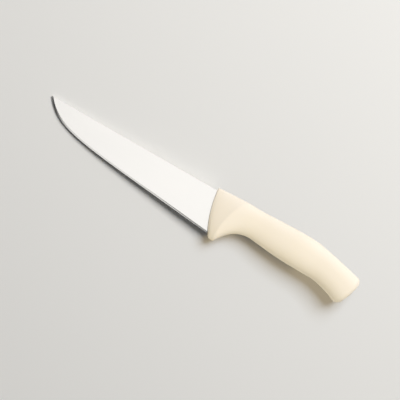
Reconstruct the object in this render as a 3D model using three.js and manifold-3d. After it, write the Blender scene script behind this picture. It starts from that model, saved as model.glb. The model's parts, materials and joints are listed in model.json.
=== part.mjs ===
// Meat knife: a stamped and ground steel blade, with a one-piece plastic handle moulded onto its tang.
//
// Sizes are in millimetres. The knife is drawn in its own mid-plane: x runs from the tip to the butt, with 0
// where the spine enters the handle; y runs up from the cutting edge to the spine line, which is 0; and z is
// the thickness, with the mid-plane at 0. The finished knife is then laid on its side on a table, +Z up.

import * as THREE from 'three';
import { ConvexHull } from 'three/addons/math/ConvexHull.js';
import { mergeVertices } from 'three/addons/utils/BufferGeometryUtils.js';
import Module from 'manifold-3d';

const wasm = await Module();
wasm.setup();

// Blade outline
const BLADE_LENGTH = 162.5; // along the spine, handle to tip
const HEEL_HEIGHT = 34.6; // spine to edge, where the spine enters the handle
const EDGE_FALL = 5.54; // degrees between the straight edge and the spine
const EDGE_STRAIGHT = 56; // straight run of edge in front of the handle
const BELLY_PULL = 0.72; // how far the straight edge leads the belly curve, of the belly's length
const TIP_PULL = 0.22; // how far the tip's angle leads it, of the same
const TIP_ANGLE = 52; // degrees between edge and spine at the tip
const TIP_BLUNT = 0.5; // height of the tip's end

// Blade grind
const STOCK_THICKNESS = 2.2; // sheet steel of the blank, left full on the tang
const HEEL_SPINE_THICKNESS = 2.1; // ground thickness at the spine, by the handle
const HEEL_EDGE_THICKNESS = 0.6; // behind the bevel, by the handle
const TIP_SPINE_THICKNESS = 1; // at the spine, by the tip
const BEVEL_WIDTH = 1.4; // sharpened strip along the edge
const EDGE_LAND = 0.08; // thickness left at the edge itself
const SPINE_EASE = 0.3; // broken corner along the spine

// Root and tang, hidden in the handle
const ROOT_DEPTH = 15; // ground blade runs this far into the handle
const HEEL_RELIEF = 3; // corner taken off the heel inside the guard
const TANG_DROP = 1.5; // top of the tang below the spine line
const TANG_HEIGHT = 15;
const TANG_SETBACK = 50; // solid plastic behind the end of the tang
const TANG_CORNER = 5; // rounding of the tang's end
const TANG_FILLET = 6; // inner corner between heel and tang
const TANG_LAP = 4; // full-thickness plate runs forward into the ground root
const HOLE_DIAMETER = 8; // holes that the plastic flows through
const HOLE_COUNT = 3;
const HOLE_MARGIN = 11; // heel to the first hole, and last hole to the end of the tang
const FIT_GAP = 0.3; // between steel and plastic
const SLOT_LEAD = 4; // the slot's cut starts this far in front of the handle

// Handle outline, seen from the side
const HANDLE_LENGTH = 142.7;
const FRONT_RISE = 2.7; // top of the front edge above the spine line
const FRONT_SWEEP = 11.9; // front edge leans back by this at the guard
const FRONT_BOW = 2.2; // front edge bows towards the tip
const FRONT_COVER = 2.3; // plastic under the heel at the front edge
const FRONT_EASE = 1; // broken corner round the front face
const RIDGE_TOP_X = 27.5; // soft ridge across the side, where it meets the top
const RIDGE_RISE = 3.9;
const RIDGE_BOW = 4.3;
const GUARD_X = 17.4; // lowest point of the finger guard, where the ridge ends
const GUARD_COVER = 2.8; // guard under the line of the edge
const GUARD_ROUND = 2; // level run behind the guard's lowest point
const RECESS_X = 24.6; // corner that the finger recess curves round
const NECK_X = 43; // slimmest place, behind the finger recess
const NECK_RISE = 3.7;
const NECK_DROP = 21.6;
const NECK_RUN = 4; // level run of the underside behind the neck
const PALM_X = 84; // fullest place of the grip
const PALM_RISE = 4.9;
const PALM_DROP = 24.8;
const PALM_RUN = 16; // level run of the underside in front of it
const WAIST_SETBACK = 38.7; // shallow waist in front of the butt
const WAIST_RISE = 3;
const WAIST_DROP = 25;
const FLARE_RUN = 8.8; // level run behind the waist, before the underside flares
const BUTT_TOP_DROP = 4.8; // upper corner of the butt, below the spine line
const TOE_DROP = 32.1; // lower corner of the butt
const BUTT_TILT = 17.5; // degrees that the end face leans back at the top
const BUTT_ROUND = 5.5; // depth of the rounding, and its reach at the upper corner
const TOE_ROUND = 6; // reach at the lower corner
const BUTT_SIDE_ROUND = 3; // reach at the sides

// Handle thickness, and how square its sections are (2 is an ellipse) in their upper and lower halves
const FRONT_THICKNESS = 8.8;
const RIDGE_THICKNESS = 17.1;
const NECK_THICKNESS = 16.6;
const PALM_THICKNESS = 22.1;
const WAIST_THICKNESS = 20.4;
const BUTT_THICKNESS = 22;
const FRONT_SQUARENESS = 3.2;
const RIDGE_SQUARENESS = 3;
const GRIP_SQUARENESS = 2.8;
const UNDERSIDE_SQUARENESS = 2.2; // of the grip, where the fingers close round it
const GUARD_TAPER = 0.105; // share by which the front thins to the guard, and thickens to the top
const GRIP_TAPER = 0.085; // the same, of the grip

// Materials
const STEEL_DENSITY = 7.75; // g/cm3
const PLASTIC_DENSITY = 0.91;
const STEEL = { color: 0xd9d7d2, roughness: 0.28, metalness: 1 };
const PLASTIC = { color: 0xf3e6cb, roughness: 0.45, metalness: 0 };

// Fineness of the facets
const BELLY_STEPS = 44;
const RING_SIDES = 44;
const SPAN_STEPS = [5, 10, 9, 5, 7]; // nose, recess, grip, palm and flare
const ROUND_STEPS = 6;
const CURVE_STEPS = 12;

const { degToRad, lerp, smoothstep } = THREE.MathUtils;
const at = (x, y) => new THREE.Vector2(x, y);

// A closed ring from its +z half, listed from top to bottom.
function mirrored(side) {
  const flip = new THREE.Vector3(1, 1, -1);
  const far = side.map((point) => point.clone().multiply(flip));
  return [...side, ...far.reverse()];
}

// Skin a row of mirrored rings that run towards +x, and close each end with strips between their halves.
function loft(rings) {
  const sides = rings[0].length;
  const triangles = [];
  const quad = (a, b, c, d) => triangles.push(a, b, c, a, c, d);
  for (let ring = 0; ring + 1 < rings.length; ring += 1) {
    for (let side = 0; side < sides; side += 1) {
      const here = ring * sides + side;
      const next = ring * sides + (side + 1) % sides;
      quad(here, next, next + sides, here + sides);
    }
  }
  const last = (rings.length - 1) * sides;
  for (let side = 0; side + 1 < sides / 2; side += 1) {
    const far = sides - 1 - side;
    quad(side, far, far - 1, side + 1);
    quad(last + side, last + side + 1, last + far - 1, last + far);
  }
  const geometry = new THREE.BufferGeometry().setFromPoints(rings.flat());
  return geometry.setIndex(triangles);
}

// A closed mesh as a solid that can be joined and cut, and back again.
function solidOf(geometry) {
  geometry.deleteAttribute('normal');
  geometry.deleteAttribute('uv');
  const merged = mergeVertices(geometry);
  return new wasm.Manifold(new wasm.Mesh({
    numProp: 3,
    vertProperties: merged.attributes.position.array,
    triVerts: new Uint32Array(merged.index.array),
  }));
}

function geometryOf(solid) {
  const mesh = solid.getMesh();
  const geometry = new THREE.BufferGeometry();
  geometry.setAttribute('position', new THREE.BufferAttribute(mesh.vertProperties, 3));
  geometry.setIndex(new THREE.BufferAttribute(mesh.triVerts, 1));
  geometry.computeVertexNormals();
  return geometry;
}

// The straight part of the edge, and its line carried on into the handle.
const edgeSlope = Math.tan(degToRad(EDGE_FALL));
const edgeAt = (x) => -HEEL_HEIGHT - edgeSlope * x;

// Half thickness of the blade's flanks: one plane a side, thinner towards the edge and towards the tip.
const edgeTaper = (HEEL_SPINE_THICKNESS - HEEL_EDGE_THICKNESS) / 2 / HEEL_HEIGHT;
const tipTaper = (HEEL_SPINE_THICKNESS - TIP_SPINE_THICKNESS) / 2 / BLADE_LENGTH;
const flankAt = (x, y) => HEEL_SPINE_THICKNESS / 2 + edgeTaper * y + tipTaper * x;

// Blade section through one point of the edge: spine, broken corner, flank and bevel on each side. Close to
// the tip there is no room for the whole bevel, and the section thins with what is left of it.
function bladeRing(edge, inward) {
  const ease = Math.min(SPINE_EASE, -edge.y / 4);
  const bevel = Math.min(BEVEL_WIDTH, (-edge.y - 2 * ease) / inward.y);
  const thinned = bevel / BEVEL_WIDTH;
  const { x, y } = edge.clone().addScaledVector(inward, bevel);
  return mirrored([
    new THREE.Vector3(x, 0, (flankAt(x, 0) - ease) * thinned),
    new THREE.Vector3(x, -ease, flankAt(x, -ease) * thinned),
    new THREE.Vector3(x, y, flankAt(x, y) * thinned),
    new THREE.Vector3(edge.x, edge.y, EDGE_LAND / 2 * thinned),
  ]);
}

// The ground blade from the tip to the root, with its heel corner relieved inside the guard.
function groundBlade() {
  const bellyLength = BLADE_LENGTH - EDGE_STRAIGHT;
  const bellyStart = at(-EDGE_STRAIGHT, edgeAt(-EDGE_STRAIGHT));
  const tip = at(-BLADE_LENGTH, -TIP_BLUNT);
  const alongEdge = at(-1, edgeSlope).normalize();
  const fromTip = at(Math.cos(degToRad(TIP_ANGLE)), -Math.sin(degToRad(TIP_ANGLE)));
  const belly = new THREE.CubicBezierCurve(
    bellyStart,
    bellyStart.clone().addScaledVector(alongEdge, BELLY_PULL * bellyLength),
    tip.clone().addScaledVector(fromTip, TIP_PULL * bellyLength),
    tip,
  );
  const rings = [];
  for (let step = BELLY_STEPS; step >= 0; step -= 1) {
    const tangent = belly.getTangent(step / BELLY_STEPS);
    rings.push(bladeRing(belly.getPoint(step / BELLY_STEPS), at(tangent.y, -tangent.x)));
  }
  const up = at(0, 1);
  const heel = ROOT_DEPTH - HEEL_RELIEF;
  rings.push(bladeRing(at(heel, edgeAt(heel)), up));
  rings.push(bladeRing(at(ROOT_DEPTH, edgeAt(ROOT_DEPTH) + HEEL_RELIEF), up));
  return solidOf(loft(rings));
}

// The tang's outline, grown all round by a gap where it is wanted as a cavity.
const tangEnd = HANDLE_LENGTH - TANG_SETBACK;
const tangTop = -TANG_DROP;
const tangBottom = tangTop - TANG_HEIGHT;

function tangShape(grow) {
  const front = ROOT_DEPTH - TANG_LAP;
  const fillet = at(ROOT_DEPTH + TANG_FILLET, tangBottom - TANG_FILLET);
  const quarter = Math.PI / 2;
  const shape = new THREE.Shape();
  shape.moveTo(front, tangTop + grow);
  shape.lineTo(front, fillet.y);
  shape.absarc(fillet.x, fillet.y, TANG_FILLET - grow, 2 * quarter, quarter, true);
  shape.absarc(tangEnd - TANG_CORNER, tangBottom + TANG_CORNER, TANG_CORNER + grow, -quarter, 0, false);
  shape.absarc(tangEnd - TANG_CORNER, tangTop - TANG_CORNER, TANG_CORNER + grow, 0, quarter, false);
  shape.closePath();
  return shape;
}

// Middles of the holes, spread along the tang.
function holeCentres() {
  const first = ROOT_DEPTH + HOLE_MARGIN;
  const last = tangEnd - HOLE_MARGIN;
  const y = (tangTop + tangBottom) / 2;
  return Array.from({ length: HOLE_COUNT }, (_, hole) => at(lerp(first, last, hole / (HOLE_COUNT - 1)), y));
}

function plate(shape, thickness) {
  const settings = { depth: thickness, bevelEnabled: false, curveSegments: CURVE_STEPS };
  return solidOf(new THREE.ExtrudeGeometry(shape, settings).translate(0, 0, -thickness / 2));
}

// Blade and tang are one piece of steel.
function blade() {
  const shape = tangShape(0);
  for (const { x, y } of holeCentres()) {
    shape.holes.push(new THREE.Path().absarc(x, y, HOLE_DIAMETER / 2, 0, 2 * Math.PI, true));
  }
  return geometryOf(groundBlade().add(plate(shape, STOCK_THICKNESS)));
}

// One section of the handle: a rounded oval between a top and a bottom point, bowed towards the tip.
function handleRing({ top, bottom, bow, thickness, upper, lower, taper }) {
  const middle = top.clone().add(bottom).divideScalar(2);
  const reach = top.clone().sub(middle);
  const forward = at(-reach.y, reach.x).normalize();
  const side = [];
  for (let step = 0; step < RING_SIDES / 2; step += 1) {
    const turn = 2 * Math.PI * (step + 0.5) / RING_SIDES;
    const power = 2 / (turn < Math.PI / 2 ? upper : lower);
    const height = Math.sign(Math.cos(turn)) * Math.abs(Math.cos(turn)) ** power;
    const width = thickness / 2 * (1 + taper * height) * Math.sin(turn) ** power;
    const point = middle.clone().addScaledVector(reach, height);
    point.addScaledVector(forward, bow * (1 - height ** 2));
    side.push(new THREE.Vector3(point.x, point.y, width));
  }
  return mirrored(side);
}

// What changes along the handle besides its outline, at the places that shape it.
const nose = (thickness, squareness, bow) =>
  ({ thickness, upper: squareness, lower: squareness, bow, taper: GUARD_TAPER });
const grip = (thickness) =>
  ({ thickness, upper: GRIP_SQUARENESS, lower: UNDERSIDE_SQUARENESS, bow: 0, taper: GRIP_TAPER });
const front = nose(FRONT_THICKNESS, FRONT_SQUARENESS, FRONT_BOW);
const ridge = nose(RIDGE_THICKNESS, RIDGE_SQUARENESS, RIDGE_BOW);
const neck = grip(NECK_THICKNESS);
const palm = grip(PALM_THICKNESS);
const waist = grip(WAIST_THICKNESS);
const butt = grip(BUTT_THICKNESS);

const between = (from, to, share) => ({
  thickness: lerp(from.thickness, to.thickness, share),
  upper: lerp(from.upper, to.upper, share),
  lower: lerp(from.lower, to.lower, share),
  bow: lerp(from.bow, to.bow, share),
  taper: lerp(from.taper, to.taper, share),
});

// The outside of the handle: a broken corner at the front face, five spans, and the rounding of the butt.
function barrel() {
  const tilt = degToRad(BUTT_TILT);
  const waistX = HANDLE_LENGTH - WAIST_SETBACK;
  const frontTop = at(FRONT_EASE, FRONT_RISE);
  const frontLow = at(FRONT_SWEEP + FRONT_EASE, edgeAt(FRONT_SWEEP) - FRONT_COVER);
  const guardTip = at(GUARD_X, edgeAt(GUARD_X) - GUARD_COVER);
  const neckLow = at(NECK_X, -NECK_DROP);
  const palmLow = at(PALM_X, -PALM_DROP);
  const waistLow = at(waistX, -WAIST_DROP);
  const buttTop = at(HANDLE_LENGTH - BUTT_ROUND * (1 - Math.sin(tilt)), -BUTT_TOP_DROP);
  const toe = at(buttTop.x - (TOE_DROP - BUTT_TOP_DROP) * Math.tan(tilt), -TOE_DROP);

  const crest = new THREE.SplineCurve([
    frontTop,
    at(RIDGE_TOP_X, RIDGE_RISE),
    at(NECK_X, NECK_RISE),
    at(PALM_X, PALM_RISE),
    at(waistX, WAIST_RISE),
    buttTop,
  ]);
  const level = (point, run) => at(point.x + run, point.y);
  const underside = [
    new THREE.QuadraticBezierCurve(frontLow, at(frontLow.x, guardTip.y), guardTip),
    new THREE.CubicBezierCurve(guardTip, level(guardTip, GUARD_ROUND), at(RECESS_X, neckLow.y), neckLow),
    new THREE.CubicBezierCurve(neckLow, level(neckLow, NECK_RUN), level(palmLow, -PALM_RUN), palmLow),
    new THREE.LineCurve(palmLow, waistLow),
    new THREE.QuadraticBezierCurve(waistLow, level(waistLow, FLARE_RUN), toe),
  ];
  const places = [front, ridge, neck, palm, waist, butt];

  const rings = [handleRing({
    ...front,
    top: at(0, FRONT_RISE - FRONT_EASE),
    bottom: at(FRONT_SWEEP, frontLow.y + FRONT_EASE),
    thickness: FRONT_THICKNESS - 2 * FRONT_EASE,
  })];
  underside.forEach((bottom, span) => {
    for (let step = 0; step < SPAN_STEPS[span]; step += 1) {
      const share = step / SPAN_STEPS[span];
      const blend = span === 0 ? share : smoothstep(share, 0, 1);
      rings.push(handleRing({
        ...between(places[span], places[span + 1], blend),
        top: crest.getPoint((span + share) / underside.length),
        bottom: bottom.getPoint(share),
      }));
    }
  });
  const back = at(Math.cos(tilt), -Math.sin(tilt));
  const up = at(Math.sin(tilt), Math.cos(tilt));
  for (let step = 0; step <= ROUND_STEPS; step += 1) {
    const turn = Math.PI / 2 * step / ROUND_STEPS;
    const inset = 1 - Math.cos(turn);
    const push = BUTT_ROUND * Math.sin(turn);
    rings.push(handleRing({
      ...butt,
      top: buttTop.clone().addScaledVector(back, push).addScaledVector(up, -BUTT_ROUND * inset),
      bottom: toe.clone().addScaledVector(back, push).addScaledVector(up, TOE_ROUND * inset),
      thickness: BUTT_THICKNESS - 2 * BUTT_SIDE_ROUND * inset,
    }));
  }
  return solidOf(loft(rings));
}

// The slot that the root of the blade fills, open at the front of the handle.
function rootSlot() {
  const ring = (x, edge) => mirrored([
    new THREE.Vector3(x, FIT_GAP, flankAt(x, 0) + FIT_GAP),
    new THREE.Vector3(x, edge - FIT_GAP, flankAt(x, edge) + FIT_GAP),
  ]);
  const heel = ROOT_DEPTH - HEEL_RELIEF;
  return solidOf(loft([
    ring(-SLOT_LEAD, edgeAt(-SLOT_LEAD)),
    ring(heel + FIT_GAP, edgeAt(heel)),
    ring(ROOT_DEPTH + FIT_GAP, edgeAt(ROOT_DEPTH) + HEEL_RELIEF),
  ]));
}

// The handle is moulded round the tang: a slot of the tang's shape, crossed by the plastic in its holes.
function handle() {
  const slotThickness = STOCK_THICKNESS + 2 * FIT_GAP;
  const pegRadius = HOLE_DIAMETER / 2 - FIT_GAP;
  let slot = rootSlot().add(plate(tangShape(FIT_GAP), slotThickness));
  for (const { x, y } of holeCentres()) {
    const peg = new THREE.CylinderGeometry(pegRadius, pegRadius, 2 * slotThickness, 2 * CURVE_STEPS);
    slot = slot.subtract(solidOf(peg.rotateX(Math.PI / 2).translate(x, y, 0)));
  }
  return geometryOf(barrel().subtract(slot));
}

const pointsOf = ({ attributes: { position } }) =>
  Array.from({ length: position.count }, (_, index) => new THREE.Vector3().fromBufferAttribute(position, index));

// Volume of a closed mesh and the middle of that volume, from the cones under its triangles.
function bulkOf(geometry) {
  const points = pointsOf(geometry);
  const corners = Array.from(geometry.index.array, (index) => points[index]);
  const centre = new THREE.Vector3();
  let volume = 0;
  for (let corner = 0; corner < corners.length; corner += 3) {
    const [a, b, c] = corners.slice(corner, corner + 3);
    const cone = a.dot(b.clone().cross(c)) / 6;
    volume += cone;
    centre.addScaledVector(a.clone().add(b).add(c), cone / 4);
  }
  return { volume, centre: centre.divideScalar(volume) };
}

// The turn that lays the knife on its -z side: the facet of its hull under the centre of mass goes flat.
function layingTurn(meshes, densities) {
  const balance = new THREE.Vector3();
  let mass = 0;
  meshes.forEach(({ geometry }, piece) => {
    const { volume, centre } = bulkOf(geometry);
    mass += volume * densities[piece];
    balance.addScaledVector(centre, volume * densities[piece]);
  });
  balance.divideScalar(mass);
  const hull = new ConvexHull().setFromPoints(meshes.flatMap(({ geometry }) => pointsOf(geometry)));
  const resting = hull.faces.filter(({ edge, normal }) => {
    const facet = new THREE.Triangle(edge.head().point, edge.next.head().point, edge.prev.head().point);
    return normal.z < 0 && facet.containsPoint(balance);
  });
  const depth = (facet) => -facet.distanceToPoint(balance);
  const lowest = resting.reduce((best, facet) => (depth(facet) < depth(best) ? facet : best));
  return new THREE.Quaternion().setFromUnitVectors(lowest.normal, new THREE.Vector3(0, 0, -1));
}

function mesh(name, geometry, material) {
  const piece = new THREE.Mesh(geometry, new THREE.MeshStandardMaterial(material));
  piece.name = name;
  return piece;
}

const knife = new THREE.Group();
knife.add(mesh('blade', blade(), STEEL), mesh('handle', handle(), PLASTIC));
knife.quaternion.copy(layingTurn(knife.children, [STEEL_DENSITY, PLASTIC_DENSITY]));

// The origin is on the table, under the middle of the lying knife.
const box = new THREE.Box3().setFromObject(knife, true);
const middle = box.getCenter(new THREE.Vector3());
knife.position.set(-middle.x, -middle.y, -box.min.z);

const part = new THREE.Group();
part.add(knife);

export default part;
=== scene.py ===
"""Dresses the meat knife for a picture: a smooth moulded handle, a ground steel blade and a pale table.

Sizes are in metres. The handle is drawn in the knife's own mid-plane, as the solids are: x runs from the
tip to the butt, with 0 where the spine enters the handle; y runs up from the cutting edge to the spine line,
which is 0; and z is the thickness. LYING then lays what is drawn on the table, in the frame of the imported
model.
"""

import json
import math
from collections import namedtuple

import bmesh
import bpy
from bpy.props import FloatProperty, FloatVectorProperty, PointerProperty
from mathutils import Matrix, Vector
from mathutils.geometry import interpolate_bezier


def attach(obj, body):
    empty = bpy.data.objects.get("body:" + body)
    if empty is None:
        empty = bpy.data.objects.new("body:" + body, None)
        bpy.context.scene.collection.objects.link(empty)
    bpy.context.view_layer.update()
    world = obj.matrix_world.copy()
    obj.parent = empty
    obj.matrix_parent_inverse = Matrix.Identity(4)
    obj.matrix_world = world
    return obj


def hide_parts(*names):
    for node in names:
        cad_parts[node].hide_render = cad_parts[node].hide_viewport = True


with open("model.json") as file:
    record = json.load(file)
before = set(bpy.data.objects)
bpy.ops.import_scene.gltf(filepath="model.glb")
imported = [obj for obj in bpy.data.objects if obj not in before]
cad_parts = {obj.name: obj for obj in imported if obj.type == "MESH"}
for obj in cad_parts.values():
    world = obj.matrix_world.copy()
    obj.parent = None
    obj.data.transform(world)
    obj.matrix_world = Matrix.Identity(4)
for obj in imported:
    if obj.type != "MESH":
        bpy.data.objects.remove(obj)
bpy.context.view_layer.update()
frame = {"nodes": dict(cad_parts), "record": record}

bl_info = {
    "name": "Meat Knife",
    "version": (1, 0, 0),
    "blender": (4, 5, 0),
    "location": "View3D > Sidebar > Meat Knife",
    "description": "Moulds the handle, grinds the blade and sets the table of a butcher's meat knife",
    "category": "Object",
}

# Places of the knife, in the drawing
FLANK_POINT = Vector((-0.060, -0.014, 0))  # where both flanks have their mounts
AIM_POINT = Vector((-0.00872, -0.01437, 0))  # what is in the middle of the picture

# Fineness of the handle's mesh
RING_SIDES = 64
CORNER_STEPS = 4
SPAN_STEPS = (12, 22, 18, 10, 14)  # nose, recess, grip, palm and flare
ROUND_STEPS = 8
END_SHARES = (0.8, 0.5, 0.2)  # rings across the end face, towards its middle
SLOT_SQUARENESS = 9  # sections of the slot are almost square
CREASE = 0.001  # short span beside a corner of the slot, which keeps it crisp in the smoothed skin

# Grain of the finishes
GRIND_SCALE = (5200, 90, 90)  # lines that are close along the blade and long across it
GRIND_STRENGTH = 0.06
GRIND_DEPTH = 0.00001
GRIND_ROUGHNESS = 0.1  # how much the roughness varies with the lines
STEEL_CLOUD_SCALE = (26, 60, 60)
BEVEL_SLANT = (0.004, 0.012)  # the bevel's finish fades in where a face turns this far from the flanks
PLASTIC_CLOUD_SCALE = 38
SKIN_SCALE = 2600
SKIN_HEIGHT = 0.5  # of the parting line's height
SKIN_STRENGTH = 0.25
SKIN_DEPTH = 0.00003
SKIN_ROUGHNESS = 0.12  # how much the roughness varies with the skin
PARTING_FADE = (0.00008, 0.00022)  # half the width of the parting line, full and faded
TABLE_ROUGHNESS = 0.8

# Table, lamps and room
TABLE_REACH = 20
KEY_PLACE = Vector((0.524, 1.235, 1.616))  # the large soft lamp, up and to the right of the picture
FILL_PLACE = Vector((0, -1.06, 0.58))  # the low lamp, on the side of the cutting edge
WINDOW_FADE = (0.05, 0.45)  # how the room brightens towards the lamp's side
WINDOW_ON_TABLE = 0.7  # share of the bright side's light that falls on table and plastic
WINDOW_ON_STEEL = 2.4  # share that the steel reflects
PANEL_PLACE = (-1, 3)  # degrees from straight above, to the right and to the top of the picture
PANEL_FADE = (33, 8)  # degrees from the panel's middle where its glow begins and is full
PANEL_ON_TABLE = 0.22
LOW_FADE = (-0.92, -0.82)  # how the steel's view of the room brightens below the panel
LOW_GLOW = 0.42
DARK_SIDE = Vector((-0.42, -0.45, 1)).normalized()  # the room stays dark where the bevel looks
DARK_FADE = (0.9, 0.97)  # how that dark patch deepens towards its middle
BACKDROP = 0.72  # what the camera sees past the end of the table
ROOM_TINT = (1, 0.992, 0.978)
SENSOR_WIDTH = 36  # of the camera, in millimetres


def lying_frame():
    """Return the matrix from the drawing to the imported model, found from the mounts on the two flanks."""
    mounts = {mount["name"]: mount for mount in frame["record"]["mounts"]}
    upper, lower = mounts["upper_flank"], mounts["lower_flank"]
    across = (Vector(upper["axis"]) - Vector(lower["axis"])).normalized()
    turn = Vector((0, 0, 1)).rotation_difference(across).to_matrix()
    middle = (Vector(upper["pos_m"]) + Vector(lower["pos_m"])) / 2
    return Matrix.Translation(middle - turn @ FLANK_POINT) @ turn.to_4x4()


LYING = lying_frame()
ACROSS = LYING.to_3x3() @ Vector((0, 0, 1))


def at(x, y):
    """Return a point of the drawing."""
    return Vector((x, y))


def blend(first, second, amount):
    """Return what lies between two values, by a share."""
    return first + (second - first) * amount


def smooth(amount):
    """Return a share that leaves 0 and reaches 1 gently."""
    return amount * amount * (3 - 2 * amount)


# Settings


def length(millimetres, name, description):
    """Return a length property, with its default in millimetres."""
    return FloatProperty(
        name=name, description=description, default=millimetres / 1000, unit="LENGTH", precision=5
    )


def angle(degrees, name, description):
    """Return an angle property, with its default in degrees."""
    return FloatProperty(
        name=name, description=description, default=math.radians(degrees), subtype="ANGLE"
    )


def power(watts, name, description):
    """Return a property for the power of a lamp."""
    return FloatProperty(name=name, description=description, default=watts, unit="POWER")


def colour(default, name, description):
    """Return a colour property."""
    return FloatVectorProperty(
        name=name, description=description, default=default, subtype="COLOR", size=3, min=0, max=1
    )


def share(default, name, description):
    """Return a property that is a plain number or a share."""
    return FloatProperty(name=name, description=description, default=default, min=0, precision=3)


class HandleSizes(bpy.types.PropertyGroup):
    """Sizes of the moulded handle."""

    full_length: length(142.7, "Length", "From where the spine enters to the end of the butt")

    front_rise: length(2.7, "Front rise", "Top of the front edge above the spine line")
    front_sweep: length(11.9, "Front sweep", "How far the front edge leans back at the guard")
    front_bow: length(2.2, "Front bow", "How far the front edge bows towards the tip")
    front_drop: length(38.05, "Front drop", "Lower end of the front edge below the spine line")
    front_ease: length(1, "Front corner", "Rounding of the corner round the front face")
    front_thickness: length(8.8, "Front thickness", "Thickness at the front face")
    front_squareness: share(3.2, "Front squareness", "How square the front section is; 2 is an ellipse")

    ridge_top_x: length(27.5, "Ridge top", "Where the soft ridge meets the top of the handle")
    ridge_rise: length(3.9, "Ridge rise", "Top of the handle above the spine line at the ridge")
    ridge_bow: length(4.3, "Ridge bow", "How far the ridge bows towards the tip")
    ridge_thickness: length(17.1, "Ridge thickness", "Thickness at the ridge")
    ridge_squareness: share(3, "Ridge squareness", "How square the section at the ridge is")
    guard_x: length(17.4, "Guard place", "Lowest point of the finger guard")
    guard_drop: length(39.09, "Guard drop", "Lowest point of the finger guard below the spine line")
    guard_round: length(2, "Guard rounding", "Level run behind the guard's lowest point")
    guard_taper: share(0.105, "Guard taper", "How much the front thins to the guard and thickens to the top")

    recess_x: length(24.6, "Recess corner", "Corner that the finger recess curves round")
    neck_x: length(43, "Neck place", "Slimmest place, behind the finger recess")
    neck_rise: length(3.7, "Neck rise", "Top of the handle above the spine line at the neck")
    neck_drop: length(21.6, "Neck drop", "Underside below the spine line at the neck")
    neck_run: length(4, "Neck run", "Level run of the underside behind the neck")
    neck_thickness: length(16.6, "Neck thickness", "Thickness at the neck")

    palm_x: length(84, "Palm place", "Fullest place of the grip")
    palm_rise: length(4.9, "Palm rise", "Top of the handle above the spine line at the palm")
    palm_drop: length(24.8, "Palm drop", "Underside below the spine line at the palm")
    palm_run: length(16, "Palm run", "Level run of the underside in front of the palm")
    palm_thickness: length(22.1, "Palm thickness", "Thickness at the palm")
    grip_squareness: share(2.8, "Grip squareness", "How square the grip is in its upper half")
    underside_squareness: share(2.2, "Underside squareness", "How square the grip is in its lower half")
    grip_taper: share(0.085, "Grip taper", "How much the grip thins to the underside and thickens to the top")

    waist_setback: length(38.7, "Waist setback", "Shallow waist in front of the end of the butt")
    waist_rise: length(3, "Waist rise", "Top of the handle above the spine line at the waist")
    waist_drop: length(25, "Waist drop", "Underside below the spine line at the waist")
    waist_thickness: length(20.4, "Waist thickness", "Thickness at the waist")
    flare_run: length(8.8, "Flare run", "Level run behind the waist, before the underside flares")

    butt_top_drop: length(4.8, "Butt top", "Upper corner of the butt below the spine line")
    toe_drop: length(32.1, "Butt toe", "Lower corner of the butt below the spine line")
    butt_tilt: angle(17.5, "Butt tilt", "How far the end face leans back at the top")
    butt_round: length(5.5, "Butt rounding", "Depth of the rounding, and its reach at the upper corner")
    toe_round: length(6, "Toe rounding", "Reach of the rounding at the lower corner")
    butt_side_round: length(3, "Butt side rounding", "Reach of the rounding at the sides")
    butt_thickness: length(22, "Butt thickness", "Thickness at the butt")

    slot_top: length(0.3, "Slot top", "Top of the blade's slot above the spine line")
    slot_bottom: length(36, "Slot bottom", "Bottom of the blade's slot below the spine line, at the front")
    slot_heel: length(33.2, "Slot heel", "Bottom of the blade's slot below the spine line, at its end")
    slot_depth: length(15.3, "Slot depth", "How far the slot of the ground blade runs into the handle")
    slot_thickness_top: length(2.7, "Slot thickness at the top", "Width of the slot by the spine")
    slot_thickness_bottom: length(1.2, "Slot thickness at the bottom", "Width of the slot by the edge")
    slot_lip: length(0.15, "Slot lip", "Rounding of the slot's mouth")
    tang_top: length(1.2, "Tang slot top", "Top of the tang's slot below the spine line")
    tang_bottom: length(16.8, "Tang slot bottom", "Bottom of the tang's slot below the spine line")
    tang_end: length(93, "Tang slot end", "How far the tang's slot runs into the handle")
    tang_thickness: length(2.8, "Tang slot thickness", "Width of the tang's slot")


class KnifeFinishes(bpy.types.PropertyGroup):
    """Colours and sheens of the steel and the plastic."""

    steel: colour((0.86, 0.845, 0.82), "Steel", "Colour of the ground steel")
    steel_shade: colour((0.82, 0.81, 0.79), "Steel shade", "Colour of the steel's darker clouds")
    steel_roughness: share(0.24, "Flank roughness", "Roughness of the satin flanks")
    bevel_roughness: share(0.17, "Bevel roughness", "Roughness of the sharpened strip and the spine")
    # Painted shade: this dark colour, its width and its strength paint a thin line on the steel just in front
    # of the handle's front edge, where the front face throws shade.
    joint_painted_shade: colour((0.12, 0.115, 0.1), "Joint", "Colour of the line where the steel enters the plastic")
    joint_painted_shade_width: length(0.4, "Joint width", "How far that line shows in front of the plastic")
    joint_painted_shade_strength: share(0.95, "Joint strength", "How much that line covers the steel")
    plastic: colour((0.88, 0.805, 0.71), "Plastic", "Colour of the moulded plastic")
    plastic_shade: colour((0.865, 0.785, 0.665), "Plastic shade", "Colour of the plastic's warmer clouds")
    plastic_roughness: share(0.55, "Plastic roughness", "Roughness of the moulded skin")
    plastic_sheen: share(0.2, "Plastic sheen", "How strongly the moulded skin reflects")


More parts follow.
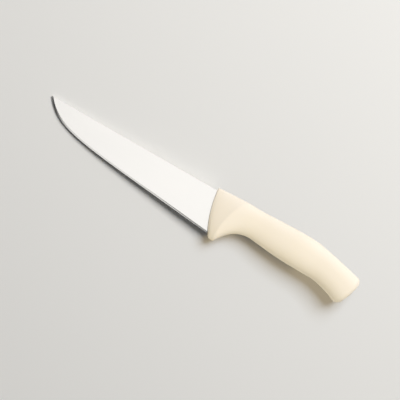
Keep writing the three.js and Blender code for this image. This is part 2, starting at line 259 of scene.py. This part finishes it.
class TableSettings(bpy.types.PropertyGroup):
    """The pale table, its light and the camera."""

    floor: colour((0.845, 0.842, 0.827), "Table", "Colour of the table")
    sky_dark: share(0.05, "Dark side", "Light of the room on the side away from the key lamp")
    sky_bright: share(0.35, "Bright side", "Light of the room on the side of the key lamp")
    glow: share(1.11, "Overhead glow", "Light of the pale panel above the table")
    key: power(36.4, "Key light", "Power of the large soft lamp")
    key_tint: colour((0.778, 0.865, 1), "Key tint", "Colour of the large soft lamp")
    through: power(15.5, "Light through", "Power of the key light that the plastic lets through")
    through_tint: colour((1, 0.75, 0.35), "Tint through", "Colour of the light that the plastic lets through")
    key_side: length(1200, "Key side", "Side of the large soft lamp")
    fill: power(7.4, "Fill light", "Power of the low lamp that fills the underside of the grip")
    fill_tint: colour((1, 0.93, 0.68), "Fill tint", "Colour of the low lamp")
    fill_side: length(700, "Fill side", "Side of the low lamp")
    turn: angle(29.9, "Camera turn", "How far the camera is turned against the knife")
    frame_width: length(338.64, "Frame width", "Width of the table that the picture takes in")
    distance: length(1000, "Camera distance", "Camera above the middle of the knife's thickness")


# Shader maths


class Term:
    """One output of a node. Arithmetic on it adds Math nodes to the same tree."""

    def __init__(self, shader, socket):
        self.shader = shader
        self.socket = socket

    def maths(self, operation, first, second):
        return self.shader.node("ShaderNodeMath", {"operation": operation}, {0: first, 1: second})

    def __add__(self, other):
        return self.maths("ADD", self, other)

    def __radd__(self, other):
        return self.maths("ADD", other, self)

    def __sub__(self, other):
        return self.maths("SUBTRACT", self, other)

    def __rsub__(self, other):
        return self.maths("SUBTRACT", other, self)

    def __mul__(self, other):
        return self.maths("MULTIPLY", self, other)

    def __rmul__(self, other):
        return self.maths("MULTIPLY", other, self)

    def __abs__(self):
        return self.shader.node("ShaderNodeMath", {"operation": "ABSOLUTE"}, {0: self})


class Shader:
    """The node tree of a material or of the world."""

    def __init__(self, owner):
        owner.use_nodes = True
        self.tree = owner.node_tree
        self.tree.nodes.clear()

    def node(self, kind, settings=None, inputs=None, output=0):
        """Add a node, set it, fill its sockets with values or links, and return one of its outputs."""
        made = self.tree.nodes.new(kind)
        for name, value in (settings or {}).items():
            setattr(made, name, value)
        for name, value in (inputs or {}).items():
            if isinstance(value, Term):
                self.tree.links.new(value.socket, made.inputs[name])
            else:
                made.inputs[name].default_value = value
        return Term(self, made.outputs[output]) if len(made.outputs) else None

    def noise(self, vector, scale, detail=2.0, roughness=0.5):
        """Return noise from 0 to 1 over a vector."""
        return self.node(
            "ShaderNodeTexNoise",
            {"noise_dimensions": "3D"},
            {"Vector": vector, "Scale": scale, "Detail": detail, "Roughness": roughness},
        )

    def stretched(self, vector, scale):
        """Return a vector with each of its axes scaled."""
        return self.node("ShaderNodeMapping", {"vector_type": "POINT"}, {"Vector": vector, "Scale": scale})

    def along(self, vector, direction):
        """Return how far a vector reaches along a direction."""
        return self.node(
            "ShaderNodeVectorMath", {"operation": "DOT_PRODUCT"}, {0: vector, 1: direction}, "Value"
        )

    def ramp(self, value, low, high):
        """Return 0 below low, 1 above high, and a smooth rise between."""
        return self.node(
            "ShaderNodeMapRange",
            {"interpolation_type": "SMOOTHSTEP"},
            {"Value": value, "From Min": low, "From Max": high},
        )

    def mix(self, amount, first, second):
        """Return the mix of two colours, each of them fixed or from another node."""
        first, second = (
            shade if isinstance(shade, Term) else (*shade, 1) for shade in (first, second)
        )
        return self.node(
            "ShaderNodeMix", {"data_type": "RGBA"}, {"Factor": amount, "A": first, "B": second}, "Result"
        )

    def bump(self, height, strength, depth):
        """Return normals that a height roughens."""
        return self.node("ShaderNodeBump", None, {"Height": height, "Strength": strength, "Distance": depth})

    def surface(self, inputs):
        """End the tree of a material with a Principled surface."""
        finish = self.node("ShaderNodeBsdfPrincipled", None, inputs)
        self.node("ShaderNodeOutputMaterial", None, {"Surface": finish})


# Finishes


def ahead_of_handle(shader, spot, sizes):
    """Return how far a spot of the blade lies in front of the handle's bowed front edge."""
    top = LYING @ Vector((0, sizes.front_rise, 0))
    low = LYING @ Vector((sizes.front_sweep, -sizes.front_drop, 0))
    middle, reach = (top + low) / 2, (top - low) / 2
    forward = ACROSS.cross(reach).normalized()
    height = (shader.along(spot, reach) - middle.dot(reach)) * (1 / reach.length_squared)
    return shader.along(spot, forward) - middle.dot(forward) - (1 - height * height) * sizes.front_bow


def ground_steel(finishes, sizes):
    """Return satin steel with fine grinding lines, a crisper bevel, and a thin line of painted shade on the
    steel in front of the handle.
    """
    material = bpy.data.materials.new("ground_steel")
    shader = Shader(material)
    spot = shader.node("ShaderNodeTexCoord", output="Object")
    lines = shader.noise(shader.stretched(spot, GRIND_SCALE), 1, 3)
    clouds = shader.noise(shader.stretched(spot, STEEL_CLOUD_SCALE), 1, 3)
    normal = shader.node("ShaderNodeNewGeometry", output="Normal")
    bevel = shader.ramp(1 - abs(shader.along(normal, ACROSS)), *BEVEL_SLANT)
    polish = finishes.bevel_roughness - finishes.steel_roughness
    # Painted shade: the steel turns dark in a thin strip just in front of the handle's front edge.
    joint_painted_shade = 1 - shader.ramp(ahead_of_handle(shader, spot, sizes), 0, finishes.joint_painted_shade_width)
    steel = shader.mix(clouds, finishes.steel, finishes.steel_shade)
    shader.surface(
        {
            "Base Color": shader.mix(joint_painted_shade * finishes.joint_painted_shade_strength, steel, finishes.joint_painted_shade),
            "Metallic": 1,
            "Roughness": finishes.steel_roughness + (lines - 0.5) * GRIND_ROUGHNESS + bevel * polish,
            "Normal": shader.bump(lines, GRIND_STRENGTH, GRIND_DEPTH),
        }
    )
    return material


def moulded_plastic(finishes):
    """Return cream plastic with a fine moulded skin and a faint parting line in the mid-plane."""
    material = bpy.data.materials.new("moulded_plastic")
    shader = Shader(material)
    spot = shader.node("ShaderNodeTexCoord", output="Object")
    clouds = shader.noise(spot, PLASTIC_CLOUD_SCALE, 3)
    skin = shader.noise(spot, SKIN_SCALE, 2, 0.6)
    off_middle = abs(shader.along(spot, ACROSS) - ACROSS.dot(LYING.translation))
    parting = 1 - shader.ramp(off_middle, *PARTING_FADE)
    shader.surface(
        {
            "Base Color": shader.mix(clouds, finishes.plastic, finishes.plastic_shade),
            "Roughness": finishes.plastic_roughness + (skin - 0.5) * SKIN_ROUGHNESS,
            "Specular IOR Level": finishes.plastic_sheen,
            "Normal": shader.bump(skin * SKIN_HEIGHT + parting, SKIN_STRENGTH, SKIN_DEPTH),
        }
    )
    return material


def pale_table(settings):
    """Return the plain pale surface that the knife lies on."""
    material = bpy.data.materials.new("pale_table")
    Shader(material).surface({"Base Color": (*settings.floor, 1), "Roughness": TABLE_ROUGHNESS})
    return material


# Handle


Section = namedtuple("Section", "top bottom thickness upper lower bow taper")


def on_line(section, height):
    """Return the point of a section's middle line at a height from -1 to 1. The line bows to the tip."""
    middle = (section.top + section.bottom) / 2
    reach = section.top - middle
    forward = Vector((-reach.y, reach.x)).normalized()
    return middle + reach * height + forward * (section.bow * (1 - height**2))


def lay(ring, section):
    """Put a ring's vertices round a section, which is a squared oval on its middle line."""
    for place, vert in enumerate(ring):
        turn = math.tau * place / len(ring)
        exponent = 2 / (section.upper if math.cos(turn) > 0 else section.lower)
        height = math.copysign(abs(math.cos(turn)) ** exponent, math.cos(turn))
        side = math.copysign(abs(math.sin(turn)) ** exponent, math.sin(turn))
        spot = on_line(section, height)
        width = section.thickness / 2 * (1 + section.taper * height)
        vert.co = LYING @ Vector((spot.x, spot.y, width * side))


def draw_on(mesh, ring, section):
    """Extrude a ring of vertices to the next section, and return the new ring in the same order."""
    edges = [mesh.edges.get((vert, ring[place - 1])) for place, vert in enumerate(ring)]
    made = bmesh.ops.extrude_edge_only(mesh, edges=edges)["geom"]
    fresh = {item for item in made if isinstance(item, bmesh.types.BMVert)}

    def partner(vert):
        return next(edge.other_vert(vert) for edge in vert.link_edges if edge.other_vert(vert) in fresh)

    ring = [partner(vert) for vert in ring]
    lay(ring, section)
    return ring


def lofted(name, sections):
    """Return a closed mesh through a row of sections."""
    mesh = bmesh.new()
    ring = list(bmesh.ops.create_circle(mesh, segments=RING_SIDES, radius=1)["verts"])
    lay(ring, sections[0])
    bmesh.ops.contextual_create(mesh, geom=ring)
    for section in sections[1:]:
        ring = draw_on(mesh, ring, section)
    bmesh.ops.contextual_create(mesh, geom=ring)
    bmesh.ops.recalc_face_normals(mesh, faces=mesh.faces)
    for face in mesh.faces:
        face.smooth = True
    return placed(name, mesh)


def placed(name, mesh):
    """Return a new object of the scene that holds a finished mesh."""
    data = bpy.data.meshes.new(name)
    mesh.to_mesh(data)
    mesh.free()
    piece = bpy.data.objects.new(name, data)
    bpy.context.scene.collection.objects.link(piece)
    return piece


def part_of(section, top, bottom, thickness, taper):
    """Return a section of the slot that lies on the face of a larger one, between two heights."""
    bow = section.bow * ((top - bottom) / 2) ** 2
    ends = on_line(section, top), on_line(section, bottom)
    return Section(*ends, thickness, SLOT_SQUARENESS, SLOT_SQUARENESS, bow, taper)


def pocket_sections(sizes, face):
    """Return the sections of the slot for blade and tang, from its end out to the front face."""
    wide, narrow = sizes.slot_thickness_top, sizes.slot_thickness_bottom
    mean, taper = (wide + narrow) / 2, (wide - narrow) / (wide + narrow)
    middle = (face.top.y + face.bottom.y) / 2
    half = face.top.y - middle
    top = (sizes.slot_top - middle) / half
    bottom = (-sizes.slot_bottom - middle) / half
    lip = sizes.slot_lip
    grown = lip / half
    square = (SLOT_SQUARENESS, SLOT_SQUARENESS, 0)

    def tang(x):
        return Section(at(x, -sizes.tang_top), at(x, -sizes.tang_bottom), sizes.tang_thickness, *square, 0)

    def root(x):
        return Section(at(x, sizes.slot_top), at(x, -sizes.slot_heel), mean, *square, taper)

    def deeper(section, depth):
        return section._replace(top=section.top + at(depth, 0), bottom=section.bottom + at(depth, 0))

    inside = deeper(part_of(face, top, bottom, mean, taper), lip)
    outside = part_of(face, top + grown, bottom - grown, mean + 2 * lip, taper)
    return [
        tang(sizes.tang_end),
        tang(sizes.slot_depth + CREASE),
        tang(sizes.slot_depth),
        root(sizes.slot_depth),
        root(sizes.slot_depth - CREASE),
        deeper(inside, CREASE),
        inside,
        outside,
    ]


def crest_points(sizes):
    """Return the points of the top line, from the front edge to the upper corner of the butt."""
    butt_x = sizes.full_length - sizes.butt_round * (1 - math.sin(sizes.butt_tilt))
    return [
        at(sizes.front_ease, sizes.front_rise),
        at(sizes.ridge_top_x, sizes.ridge_rise),
        at(sizes.neck_x, sizes.neck_rise),
        at(sizes.palm_x, sizes.palm_rise),
        at(sizes.full_length - sizes.waist_setback, sizes.waist_rise),
        at(butt_x, -sizes.butt_top_drop),
    ]


def round_corner(start, corner, end):
    """Return the four points of a curve that leaves its start for a corner and reaches its end from it."""
    return start, blend(start, corner, 2 / 3), blend(end, corner, 2 / 3), end


def underside_curves(sizes, butt_top):
    """Return the curves of the lower line, one for each span between two points of the top line."""
    front = at(sizes.front_sweep + sizes.front_ease, -sizes.front_drop)
    guard = at(sizes.guard_x, -sizes.guard_drop)
    neck = at(sizes.neck_x, -sizes.neck_drop)
    palm = at(sizes.palm_x, -sizes.palm_drop)
    waist = at(sizes.full_length - sizes.waist_setback, -sizes.waist_drop)
    toe_lean = (sizes.toe_drop - sizes.butt_top_drop) * math.tan(sizes.butt_tilt)
    toe = at(butt_top.x - toe_lean, -sizes.toe_drop)
    return [
        round_corner(front, at(front.x, guard.y), guard),
        (guard, guard + at(sizes.guard_round, 0), at(sizes.recess_x, neck.y), neck),
        (neck, neck + at(sizes.neck_run, 0), palm - at(sizes.palm_run, 0), palm),
        (palm, blend(palm, waist, 1 / 3), blend(palm, waist, 2 / 3), waist),
        round_corner(waist, waist + at(sizes.flare_run, 0), toe),
    ]


def grip_forms(sizes):
    """Return the thickness, squareness, bow and taper of the section at each point of the top line."""
    front, ridge = sizes.front_squareness, sizes.ridge_squareness
    grip = (sizes.grip_squareness, sizes.underside_squareness, 0, sizes.grip_taper)
    return [
        (sizes.front_thickness, front, front, sizes.front_bow, sizes.guard_taper),
        (sizes.ridge_thickness, ridge, ridge, sizes.ridge_bow, sizes.guard_taper),
        (sizes.neck_thickness, *grip),
        (sizes.palm_thickness, *grip),
        (sizes.waist_thickness, *grip),
        (sizes.butt_thickness, *grip),
    ]


def front_corner(sizes, form):
    """Return the sections of the rounded corner round the front face."""
    thickness, *others = form
    sections = []
    for step in range(CORNER_STEPS):
        turn = math.pi / 2 * step / CORNER_STEPS
        inset = sizes.front_ease * (1 - math.sin(turn))
        back = sizes.front_ease * (1 - math.cos(turn))
        top = at(back, sizes.front_rise - inset)
        bottom = at(sizes.front_sweep + back, inset - sizes.front_drop)
        sections.append(Section(top, bottom, thickness - 2 * inset, *others))
    return sections


def grip_spans(crest, underside, forms):
    """Return the sections from behind the front corner to the butt, span by span."""
    last = len(crest) - 1
    slopes = [
        (crest[min(place + 1, last)] - crest[max(place - 1, 0)]) / 2 for place in range(len(crest))
    ]
    sections = []
    for span, count in enumerate(SPAN_STEPS):
        start, end = crest[span : span + 2]
        leave, reach = start + slopes[span] / 3, end - slopes[span + 1] / 3
        tops = interpolate_bezier(start, leave, reach, end, count + 1)
        lows = interpolate_bezier(*underside[span], count + 1)
        for step in range(count):
            amount = step / count if span == 0 else smooth(step / count)
            form = [blend(*pair, amount) for pair in zip(forms[span], forms[span + 1])]
            sections.append(Section(tops[step].to_2d(), lows[step].to_2d(), *form))
    return sections


def rounded_butt(sizes, top, toe, form):
    """Return the sections of the butt's rounding and of its end face."""
    out = at(math.cos(sizes.butt_tilt), -math.sin(sizes.butt_tilt))
    up = at(math.sin(sizes.butt_tilt), math.cos(sizes.butt_tilt))
    thickness, *others = form
    sections = []
    for step in range(ROUND_STEPS + 1):
        turn = math.pi / 2 * step / ROUND_STEPS
        inset = 1 - math.cos(turn)
        push = out * (sizes.butt_round * math.sin(turn))
        sections.append(
            Section(
                top + push - up * (sizes.butt_round * inset),
                toe + push + up * (sizes.toe_round * inset),
                thickness - 2 * sizes.butt_side_round * inset,
                *others,
            )
        )
    end = sections[-1]
    middle = (end.top + end.bottom) / 2
    for amount in END_SHARES:
        sections.append(
            end._replace(
                top=blend(middle, end.top, amount),
                bottom=blend(middle, end.bottom, amount),
                thickness=end.thickness * amount,
            )
        )
    return sections


def grip_sections(sizes):
    """Return the outside sections from the front face to the end of the butt."""
    crest = crest_points(sizes)
    underside = underside_curves(sizes, crest[-1])
    forms = grip_forms(sizes)
    toe = underside[-1][-1]
    return [
        *front_corner(sizes, forms[0]),
        *grip_spans(crest, underside, forms),
        *rounded_butt(sizes, crest[-1], toe, forms[-1]),
    ]


class MEATKNIFE_OT_handle(bpy.types.Operator):
    """Mould the plastic handle round the tang"""

    bl_idname = "meat_knife.handle"
    bl_label = "Mould the Handle"

    def execute(self, context):
        sizes = context.scene.knife_handle
        outside = grip_sections(sizes)
        piece = lofted("handle_moulding", pocket_sections(sizes, outside[0]) + outside)
        rounding = piece.modifiers.new("smooth_skin", "SUBSURF")
        rounding.levels = rounding.render_levels = 1
        piece.data.materials.append(moulded_plastic(context.scene.knife_finishes))
        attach(piece, "root")
        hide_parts("handle")
        return {"FINISHED"}


class MEATKNIFE_OT_blade(bpy.types.Operator):
    """Give the steel of the blade its ground finish"""

    bl_idname = "meat_knife.blade"
    bl_label = "Grind the Blade"

    def execute(self, context):
        steel = ground_steel(context.scene.knife_finishes, context.scene.knife_handle)
        for slot in frame["nodes"]["blade"].material_slots:
            slot.material = steel
        return {"FINISHED"}


# Table, light and camera


def only(name, piece):
    """Return a new collection that holds one piece, for a lamp that treats it apart."""
    collection = bpy.data.collections.new(name)
    collection.objects.link(bpy.data.objects[piece])
    return collection


class MEATKNIFE_OT_stage(bpy.types.Operator):
    """Set the pale table, the soft light and the camera above the knife"""

    bl_idname = "meat_knife.stage"
    bl_label = "Set the Table"

    def execute(self, context):
        scene = context.scene
        settings = scene.knife_table
        scene.view_settings.view_transform = "Standard"
        self.lay_table(settings)
        self.light_room(scene, settings)
        self.hang_lamps(scene, settings)
        self.place_camera(scene, settings)
        return {"FINISHED"}

    def lay_table(self, settings):
        mesh = bmesh.new()
        bmesh.ops.create_grid(mesh, x_segments=1, y_segments=1, size=TABLE_REACH)
        table = placed("table", mesh)
        table.data.materials.append(pale_table(settings))

    def light_room(self, scene, settings):
        """Light the room from one side and from a pale panel, both of which steel shows more strongly."""
        scene.world = bpy.data.worlds.new("room")
        shader = Shader(scene.world)
        direction = shader.node("ShaderNodeTexCoord", output="Generated")
        glossy = shader.node("ShaderNodeLightPath", output="Is Glossy Ray")
        seen = shader.node("ShaderNodeLightPath", output="Is Camera Ray")

        side = Vector((KEY_PLACE.x, KEY_PLACE.y, 0)).normalized()
        window = shader.ramp(shader.along(direction, side), *WINDOW_FADE)
        window = window * (settings.sky_bright - settings.sky_dark)
        right = Vector((math.cos(settings.turn), math.sin(settings.turn), 0))
        up = Vector((-math.sin(settings.turn), math.cos(settings.turn), 0))
        rightwards, upwards = (math.tan(math.radians(lean)) for lean in PANEL_PLACE)
        panel_way = (right * rightwards + up * upwards + Vector((0, 0, 1))).normalized()
        panel_rim = (math.cos(math.radians(lean)) for lean in PANEL_FADE)
        panel = shader.ramp(shader.along(direction, panel_way), *panel_rim) * settings.glow
        low = shader.ramp(shader.along(direction, (0, 0, -1)), *LOW_FADE) * LOW_GLOW
        low = low * (1 - shader.ramp(shader.along(direction, DARK_SIDE), *DARK_FADE))

        on_table = settings.sky_dark + window * WINDOW_ON_TABLE + panel * PANEL_ON_TABLE
        on_steel = settings.sky_dark + window * WINDOW_ON_STEEL + panel + low
        strength = blend(blend(on_table, on_steel, glossy), BACKDROP, seen)
        light = shader.node("ShaderNodeBackground", None, {"Color": (*ROOM_TINT, 1), "Strength": strength})
        shader.node("ShaderNodeOutputWorld", None, {"Surface": light})

    def hang_lamps(self, scene, settings):
        """Hang the key lamp with its share that passes the plastic, and the low lamp that fills the grip."""
        self.hang_lamp(scene, "key", settings.key, settings.key_side, KEY_PLACE, settings.key_tint)
        through = self.hang_lamp(
            scene, "through", settings.through, settings.key_side, KEY_PLACE, settings.through_tint
        )
        through.light_linking.blocker_collection = only("opaque", "blade")
        fill = self.hang_lamp(
            scene, "fill", settings.fill, settings.fill_side, FILL_PLACE, settings.fill_tint
        )
        fill.light_linking.receiver_collection = only("filled", "handle_moulding")
        # The filled handle would otherwise throw a bright halo on the table beside it.
        bpy.data.objects["handle_moulding"].visible_diffuse = False

    def hang_lamp(self, scene, name, watts, side, place, tint):
        lamp = bpy.data.lights.new(name, "AREA")
        lamp.shape = "SQUARE"
        lamp.size = side
        lamp.energy = watts
        lamp.color = tint
        hung = bpy.data.objects.new(name, lamp)
        hung.location = place
        hung.rotation_euler = (-place).to_track_quat("-Z", "Y").to_euler()
        scene.collection.objects.link(hung)
        return hung

    def place_camera(self, scene, settings):
        lens = bpy.data.cameras.new("camera")
        lens.sensor_width = SENSOR_WIDTH
        lens.lens = SENSOR_WIDTH * settings.distance / settings.frame_width
        camera = bpy.data.objects.new("camera", lens)
        camera.location = LYING @ AIM_POINT + Vector((0, 0, settings.distance))
        camera.rotation_euler = (0, 0, settings.turn)
        scene.collection.objects.link(camera)
        scene.camera = camera


class MEATKNIFE_PT_panel(bpy.types.Panel):
    """Buttons and sizes of the meat knife"""

    bl_label = "Meat Knife"
    bl_idname = "MEATKNIFE_PT_panel"
    bl_space_type = "VIEW_3D"
    bl_region_type = "UI"
    bl_category = "Meat Knife"

    def draw(self, context):
        layout = self.layout
        for operator in OPERATORS:
            layout.operator(operator.bl_idname)
        for group in GROUPS:
            box = layout.box()
            owner = getattr(context.scene, GROUPS[group])
            for name in group.__annotations__:
                box.prop(owner, name)


GROUPS = {HandleSizes: "knife_handle", KnifeFinishes: "knife_finishes", TableSettings: "knife_table"}
OPERATORS = (MEATKNIFE_OT_blade, MEATKNIFE_OT_handle, MEATKNIFE_OT_stage)


def register():
    for kind in (*GROUPS, *OPERATORS, MEATKNIFE_PT_panel):
        bpy.utils.register_class(kind)
    for group, name in GROUPS.items():
        setattr(bpy.types.Scene, name, PointerProperty(type=group))


def unregister():
    for name in GROUPS.values():
        delattr(bpy.types.Scene, name)
    for kind in (MEATKNIFE_PT_panel, *reversed(OPERATORS), *reversed(GROUPS)):
        bpy.utils.unregister_class(kind)


def main():
    register()
    bpy.ops.meat_knife.blade()
    bpy.ops.meat_knife.handle()
    bpy.ops.meat_knife.stage()


if __name__ == "__main__":
    main()
